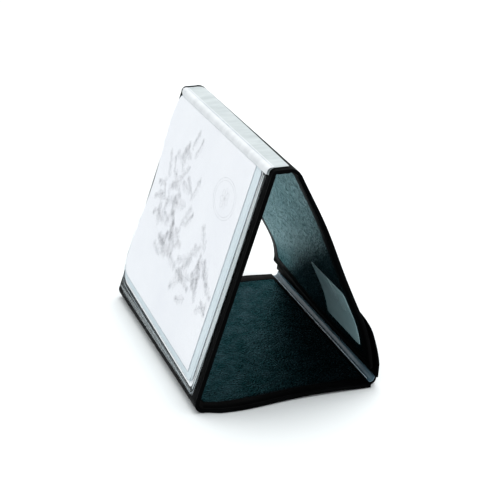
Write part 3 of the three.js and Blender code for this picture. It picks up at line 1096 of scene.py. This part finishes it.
def pocket_bands():
    """The pocket film's two wide welds: up its near end, and along its lower edge."""
    span = node_span("clear_pocket", front_line)
    face = span["depths"][0]
    depths = (face - 0.22 * MM, face - 0.12 * MM)
    near_y = span["y_span"][0] + 5 * MM
    near_path = [(s, near_y) for s in np.linspace(8 * MM, front_line.length - 5 * MM, 60)]
    lower_path = [(4.6 * MM, y) for y in np.linspace(-132 * MM, 146 * MM, 60)]
    bands = (
        ("pocket_weld_band", near_path, 8 * MM, WELD_BAND),
        ("pocket_lower_band", lower_path, 6 * MM, LOWER_BAND),
    )
    for name, path, width, material in bands:
        band = ribbons(name, front_line, [path], width, depths, material, warp=backing_ripple)
        place_piece(band, "front", "clear_film")


def build_seams():
    """The thin welds of the two films, a grey line just inside the print's edge, and the pocket's wide bands."""
    seam("sleeve_weld", "sleeve_front", "page", FILM_CORNERS, page_ripple, inset=0.8 * MM, width=0.5 * MM)
    seam("pocket_weld", "clear_pocket", "front", FILM_CORNERS, backing_ripple, inset=1.2 * MM, width=0.6 * MM)
    seam("print_edge", "print", "page", PRINT_CORNERS, page_ripple, inset=0.4 * MM, width=0.5 * MM)
    pocket_bands()


# -------------------- drawing on the print


def turned(points, angle, origin):
    """Points along an axis, turned by an angle and moved to an origin, in s and y."""
    along, across = np.array(points, float).T
    s = origin[0] + along * math.cos(angle) - across * math.sin(angle)
    y = origin[1] + along * math.sin(angle) + across * math.cos(angle)
    return np.column_stack([s, y])


def leaf(length, width, steps=18):
    """A closed leaf or petal outline that starts at its stalk."""
    angle = np.linspace(0, 2 * math.pi, steps, endpoint=False)
    return np.column_stack([length * (1 - np.cos(angle)) / 2, width / 2 * np.sin(angle)])


STEM_POINTS = 24
LEAF_PLACES = range(3, 21, 2)
SPRIG_PETALS = 6
MEDALLION_PETALS = 7


def sprig(origin, angle, length, seed):
    """A bending stem with leaves on both sides and a flower at its tip: open strokes, then outlines."""
    rng = np.random.default_rng(seed)
    t = np.linspace(0, 1, STEM_POINTS)
    bend = rng.uniform(-0.22, 0.22) * length
    stem = turned(np.column_stack([t * length, bend * t * t]), angle, origin)
    strokes, outlines = [stem], []
    for place in LEAF_PLACES:
        side = 1 if place % 4 == 1 else -1
        leaf_angle = angle + side * rng.uniform(0.5, 1.1)
        leaf_length = length * rng.uniform(0.16, 0.28)
        outlines.append(turned(leaf(leaf_length, leaf_length * 0.4), leaf_angle, stem[place]))
        vein = np.column_stack([np.linspace(0.1, 0.8, 6) * leaf_length, np.zeros(6)])
        strokes.append(turned(vein, leaf_angle, stem[place]))
    for petal in range(SPRIG_PETALS):
        petal_length = length * rng.uniform(0.12, 0.16)
        petal_angle = angle + petal * 2 * math.pi / SPRIG_PETALS
        outlines.append(turned(leaf(petal_length, petal_length * 0.6), petal_angle, stem[-1]))
    return strokes, outlines


def medallion(centre, half_s, half_y):
    """The outlines of two ovals round a small flower."""
    angle = np.linspace(0, 2 * math.pi, 48, endpoint=False)
    oval = np.column_stack([half_s * np.cos(angle), half_y * np.sin(angle)])
    petal = leaf(half_s * 0.55, half_s * 0.3)
    turns = [number * 2 * math.pi / MEDALLION_PETALS for number in range(MEDALLION_PETALS)]
    petals = [turned(petal, turn, centre) for turn in turns]
    return [centre + share * oval for share in (1.0, 0.86)] + petals


def scatter(centre, halves, tilt, count, seed):
    """Sprigs strewn over a tilted oval patch of the sheet."""
    rng = np.random.default_rng(seed)
    strokes, outlines = [], []
    for number in range(count):
        reach, turn = math.sqrt(rng.uniform(0, 1)), rng.uniform(0, 2 * math.pi)
        place = [(halves[0] * reach * math.cos(turn), halves[1] * reach * math.sin(turn))]
        origin = turned(place, tilt, centre)[0]
        angle, length = rng.uniform(-2.2, 2.2), rng.uniform(20, 34) * MM
        more_strokes, more_outlines = sprig(origin, angle, length, seed + number)
        strokes += more_strokes
        outlines += more_outlines
    return strokes, outlines


def build_drawing():
    """A generic drawing in faint pencil: a flower medallion and two drifts of sprigs."""
    ovals = medallion((181 * MM, -66 * MM), 20 * MM, 31 * MM)
    upper = scatter((132 * MM, 60 * MM), (60 * MM, 48 * MM), tilt=0.1, count=46, seed=100)
    lower = scatter((88 * MM, -56 * MM), (32 * MM, 40 * MM), tilt=0.3, count=24, seed=200)
    print_face = node_span("print", front_line)["depths"][0]
    depths = (print_face - 0.06 * MM, print_face - 0.02 * MM)
    drawn = (
        ("drawn_strokes", upper[0] + lower[0], False),
        ("drawn_outlines", ovals + upper[1] + lower[1], True),
    )
    for name, paths, closed in drawn:
        made = ribbons(name, front_line, paths, 0.4 * MM, depths, PENCIL, closed=closed, warp=page_ripple)
        place_piece(made, "page", "paper")


# -------------------- binding over the top

strip = node_span("binding_strip", spine_line)
strip["y_span"] = (strip["y_span"][0], strip["y_span"][1] - 5 * MM)


def strip_edge(s, y):
    """The strip's rear edge is not parallel to the fold: it overhangs more at the far end."""
    share = (y - strip["y_span"][0]) / (strip["y_span"][1] - strip["y_span"][0])
    return (s / strip["s_span"][1]) ** 2 * (OVERHANG_NEAR + (OVERHANG_FAR - OVERHANG_NEAR) * share)


def binding_film():
    """The milky strip on the spine."""
    rear_turn = (top_rear.profile.length, top_rear.turn)
    over_spine = Profile(top_front.end, SPINE_HEADING, (spine_line.length, 0), rear_turn)
    film = slab(
        "binding_film", over_spine, material=FROSTED, corner=(0, 0, MM, 8 * MM), step=1.5 * MM, y_step=5 * MM,
        slide=strip_edge, **strip)
    place_piece(film, "spine", "frosted_film", "binding_strip")


def binding_wrap():
    """The strip's front edge, wrapped over the fold between front and spine."""
    s_span = (-2.5 * MM, top_front.profile.length + GAP)
    wrap = slab(
        "binding_wrap", top_front.profile, s_span, strip["y_span"], WRAP_DEPTHS, FROSTED,
        step=0.8 * MM, y_step=6 * MM, square=(False, True))
    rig.slot(wrap, "frosted_film")
    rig.blend(wrap, "front", "spine", **blend_line(top_front, WRAP_DEPTHS))


def settle(s, y):
    """The page's binding film comes down onto the wrap behind the fold's crown."""
    share = rise(s - HINGE_START, SETTLE_LENGTH)
    return SETTLE_DROP * share * share * (3 - 2 * share)


def page_binding():
    """The film that hinges the page at the top, and the weld that holds it to the strip."""
    outer_face = PAGE_PIVOT_DEPTH - FILM_HALF
    film = slab(
        "page_binding", top_front.profile, (-2.6 * MM, 6.8 * MM), strip["y_span"],
        (outer_face, PAGE_PIVOT_DEPTH + FILM_HALF), PAGE_BINDING,
        corner=(0, 10 * MM, 0, 3 * MM), step=0.5 * MM, y_step=6 * MM, warp=settle)
    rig.slot(film, "frosted_film")
    start = tuple(top_front.profile.place(HINGE_START, 0, PAGE_PIVOT_DEPTH)[0])
    end = tuple(top_front.profile.place(HINGE_END, 0, PAGE_PIVOT_DEPTH)[0])
    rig.blend(film, "front", "page", start=start, end=end)
    y_places = np.linspace(strip["y_span"][0] + 2 * MM, strip["y_span"][1] - 6 * MM, 40)
    weld_path = [(5.5 * MM, y) for y in y_places]
    weld_depths = (outer_face - 0.12 * MM, outer_face)
    weld = ribbons(
        "page_binding_weld", top_front.profile, [weld_path], 0.7 * MM, weld_depths, WELD, warp=settle)
    place_piece(weld, "front", "frosted_film")


def build_binding():
    """The milky films over the top, from the spine outwards."""
    binding_film()
    binding_wrap()
    page_binding()


# -------------------- card pocket


def build_card_pocket():
    """A smooth film over the rear panel's lining, made pale by painted reflection."""
    low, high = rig.box("card_pocket")
    face = PANEL_DEPTH + GAP
    film = slab(
        "card_pocket_film", rear_line,
        s_span=(rear_line.length - 82 * MM, rear_line.length - 19 * MM), y_span=(low.y, high.y),
        depths=(face, face + 0.8 * MM), material=POCKET_PAINTED_REFLECTION, corner=2.5 * MM,
    )
    place_piece(film, "rear", "pocket_vinyl", "card_pocket")


# -------------------- stage, light and camera


def floor_material():
    """A plain pale floor."""
    n = Nodes("floor")
    n.set(Base_Color=(0.86, 0.9, 0.91, 1), Roughness=0.6)
    return n.material


def make_floor():
    size = 6.0
    corners = [(-size, -size, 0), (size, -size, 0), (size, size, 0), (-size, size, 0)]
    floor = new_object("floor", corners, [(0, 1, 2, 3)], floor_material(), smooth=False)
    floor.location.z = -0.2 * MM
    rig.stage(floor)


def make_light(name, place, aim, size, power):
    """A square area light that faces its aim."""
    data = bpy.data.lights.new(name, "AREA")
    data.energy = power
    data.size = size
    light = bpy.data.objects.new(name, data)
    light.location = place
    light.rotation_euler = (Vector(aim) - Vector(place)).to_track_quat("-Z", "Y").to_euler()
    bpy.context.scene.collection.objects.link(light)


def make_camera():
    """A long lens beyond the stand's near end, a little to its front and above it."""
    azimuth, elevation = math.radians(-18.36), math.radians(21.59)
    aim = Vector((-0.004, -0.044, 0.118))
    distance = 1.6
    back = Vector((
        math.sin(azimuth) * math.cos(elevation),
        -math.cos(azimuth) * math.cos(elevation),
        math.sin(elevation),
    ))
    data = bpy.data.cameras.new("camera")
    data.sensor_width = 36
    data.lens = 114.47
    camera = bpy.data.objects.new("camera", data)
    camera.location = aim + back * distance
    camera.rotation_euler = (-back).to_track_quat("-Z", "Y").to_euler()
    bpy.context.scene.collection.objects.link(camera)
    bpy.context.scene.camera = camera


def make_world():
    """Even white light from all round."""
    world = bpy.data.worlds.new("studio")
    world.use_nodes = True
    background = world.node_tree.nodes["Background"]
    background.inputs["Color"].default_value = (1, 1, 1, 1)
    background.inputs["Strength"].default_value = 0.84
    bpy.context.scene.world = world


build_panels()
build_folds()
build_tab()
build_sheets()
build_seams()
build_drawing()
build_binding()
build_card_pocket()

make_floor()
make_world()
make_camera()
make_light("overhead", place=(0.5, 0.3, 2.2), aim=(0, 0, 0.1), size=1.6, power=22)
bpy.context.scene.view_settings.view_transform = "Standard"
bpy.context.scene.view_settings.look = "Medium High Contrast"

visual_box = [list(corner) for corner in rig.bounds()]
with open("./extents.json", "w") as file:
    json.dump({"cad": cad_box, "visual": visual_box}, file)
